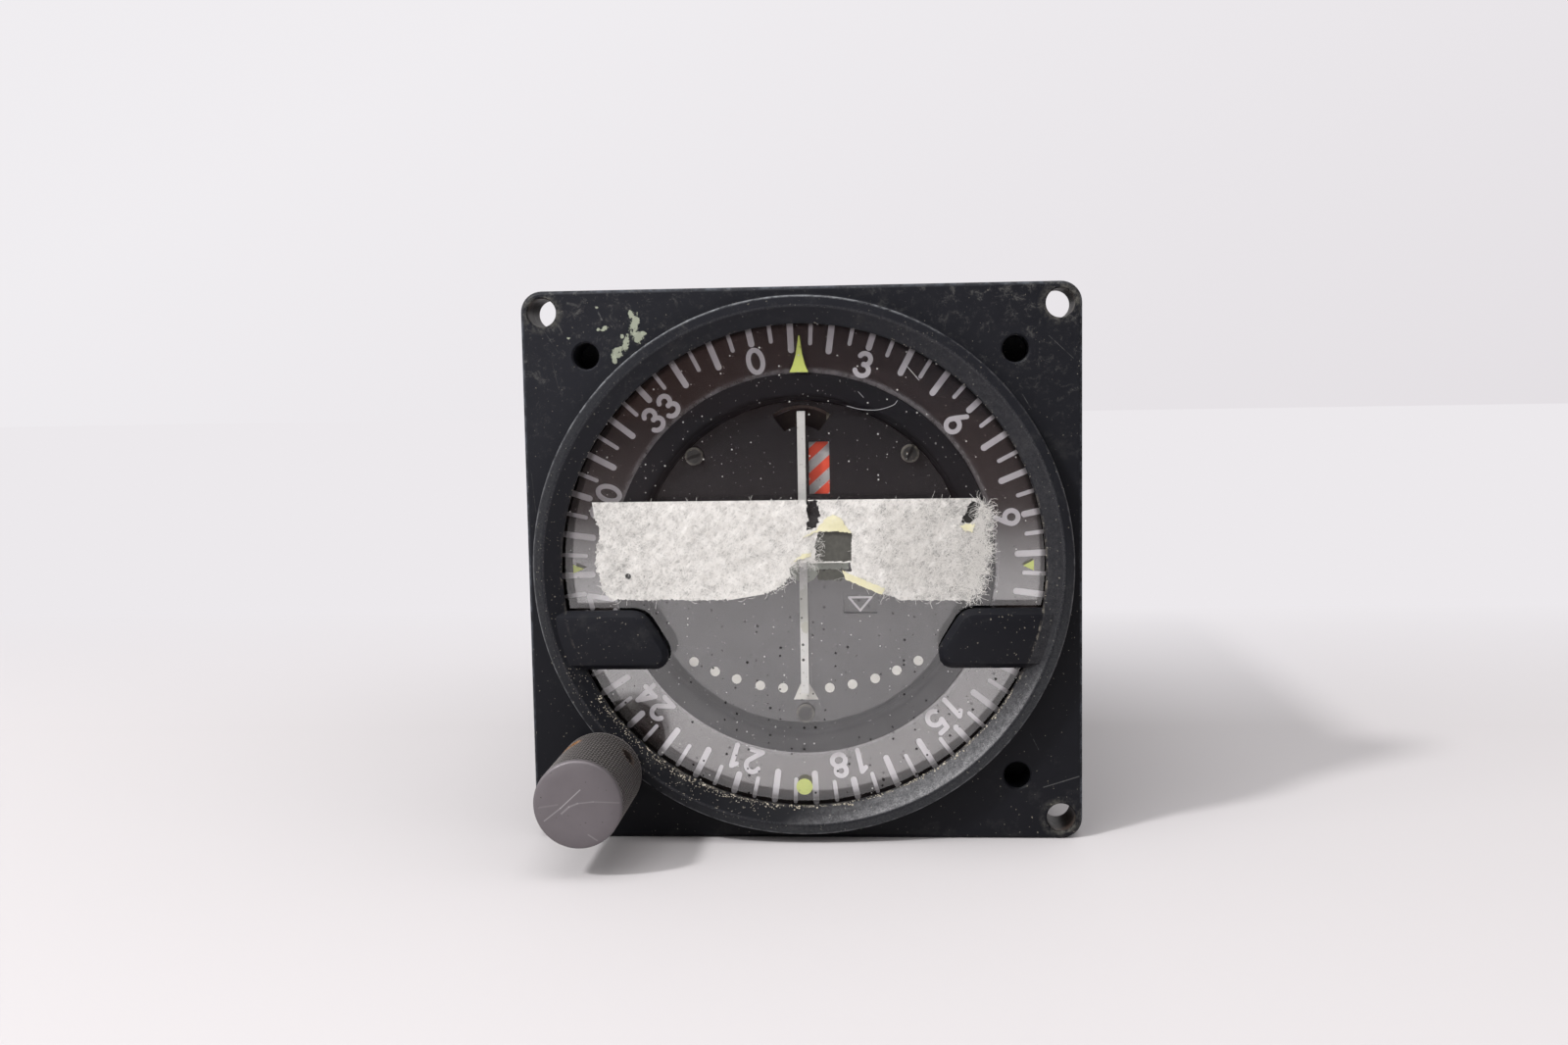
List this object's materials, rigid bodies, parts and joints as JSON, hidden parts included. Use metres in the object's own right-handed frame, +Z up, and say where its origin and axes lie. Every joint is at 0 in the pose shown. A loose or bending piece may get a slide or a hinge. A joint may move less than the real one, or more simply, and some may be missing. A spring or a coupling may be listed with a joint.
{
  "type": "course select indicator",
  "caption": "Square-flanged cockpit indicator with a raised bezel ring, glazed compass card, hinged deviation pointer, striped flag, knurled course knob and a long rear case.",
  "frame": {"origin": "middle of the footprint, on the surface that the flange's lower edge stands on", "axes": "+Z up, -Y out of the dial towards the viewer, +Y along the case to the rear connector, +X to the viewer's right"},
  "size_m": [0.082, 0.1934, 0.0821],
  "materials": {
    "black_paint": "worn satin black paint",
    "window_glass": "clear, dusty",
    "gasket_rubber": "dull black",
    "plain_aluminium": "machined, dull",
    "masking_tape": "crumpled pale paper tape, yellowed at its folds",
    "dial_black": "matt black",
    "card_black": "matt black with pale printed figures",
    "steel": "plain",
    "rusty_steel": "rusted",
    "brass": "machined",
    "copper_wire": "varnished copper winding",
    "pointer_white": "matt white",
    "flag_red": "matt red and pale stripes",
    "knob_grey": "knurled side, scratched grey face",
    "board_green": "satin",
    "lamp_glass": "frosted",
    "case_black": "satin black",
    "insulator": "satin"
  },
  "bodies": {
    "instrument": {"bezel": "black_paint", "lens": "window_glass", "lens_gasket": "gasket_rubber", "lens_retainer": "plain_aluminium", "masking_tape": "masking_tape", "dial_housing": "dial_black", "card_retainer": "plain_aluminium", "dial_plate": "dial_black", "dial_screw_1": "steel", "dial_screw_2": "steel", "dial_screw_3": "steel", "dial_post_1": "brass", "dial_post_2": "brass", "dial_post_3": "brass", "pointer_magnet": "steel", "nav_flag_meter": "plain_aluminium", "to_from_meter": "plain_aluminium", "shaft_bushing": "brass", "shaft_clip": "steel", "gear_plate": "plain_aluminium", "front_post_1": "plain_aluminium", "front_post_2": "plain_aluminium", "front_post_3": "plain_aluminium", "chassis_rod_1": "plain_aluminium", "chassis_rod_2": "plain_aluminium", "chassis_rod_3": "plain_aluminium", "resolver_body": "plain_aluminium", "circuit_board_1": "board_green", "circuit_board_2": "board_green", "transformer": "steel", "capacitor_1": "plain_aluminium", "capacitor_2": "plain_aluminium", "lamp_left": "lamp_glass", "lamp_right": "lamp_glass", "case_shell": "case_black", "case_screw_1": "steel", "case_screw_2": "steel", "case_screw_3": "steel", "case_screw_4": "steel", "rear_cover": "case_black", "cover_screw_1": "steel", "cover_screw_2": "steel", "cover_screw_3": "steel", "connector_shell": "plain_aluminium", "connector_insert": "insulator"},
    "knob_body": {"knob": "knob_grey", "knob_set_screw_1": "rusty_steel", "knob_set_screw_2": "rusty_steel", "knob_shaft": "steel", "knob_gear": "brass", "knob_pinion": "brass"},
    "card_body": {"course_card": "card_black", "card_gear": "plain_aluminium"},
    "resolver_turning": {"resolver_rotor": "steel", "resolver_gear": "brass"},
    "pointer_body": {"deviation_pointer": "pointer_white", "pointer_coil": "copper_wire"},
    "nav_flag_body": {"nav_flag": "flag_red"},
    "to_from_body": {"to_from_vane": "dial_black"}
  },
  "joints": [
    {"name": "card_spin", "type": "hinge", "parent": "instrument", "child": "card_body", "pos_m": [0, -0.07235, 0.04105], "axis": [0, 1, 0], "continuous": true},
    {"name": "knob_spin", "type": "hinge", "parent": "instrument", "child": "knob_body", "pos_m": [-0.03024, -0.08735, 0.01081], "axis": [0, 1, 0], "continuous": true},
    {"name": "resolver_spin", "type": "hinge", "parent": "instrument", "child": "resolver_turning", "pos_m": [-0.01748, -0.06535, 0.02357], "axis": [0, 1, 0], "continuous": true},
    {"name": "pointer_swing", "type": "hinge", "parent": "instrument", "child": "pointer_body", "pos_m": [0, -0.06995, 0.05725], "axis": [0, 1, 0], "range_deg": [-29, 29], "stiffness_Nm_per_rad": 0.0004},
    {"name": "nav_flag_swing", "type": "hinge", "parent": "instrument", "child": "nav_flag_body", "pos_m": [0.0065, -0.07035, 0.04355], "axis": [0, 1, 0], "range_deg": [0, 25.5], "stiffness_Nm_per_rad": 0.0003, "springref_deg": -5.73},
    {"name": "to_from_swing", "type": "hinge", "parent": "instrument", "child": "to_from_body", "pos_m": [0.0175, -0.07035, 0.03305], "axis": [0, -1, 0], "range_deg": [0, 41], "stiffness_Nm_per_rad": 0.0003, "springref_deg": -5.73}
  ],
  "couplings": [
    {"joint": "knob_spin", "follows": "card_spin", "ratio": -5},
    {"joint": "resolver_spin", "follows": "card_spin", "ratio": 1}
  ]
}
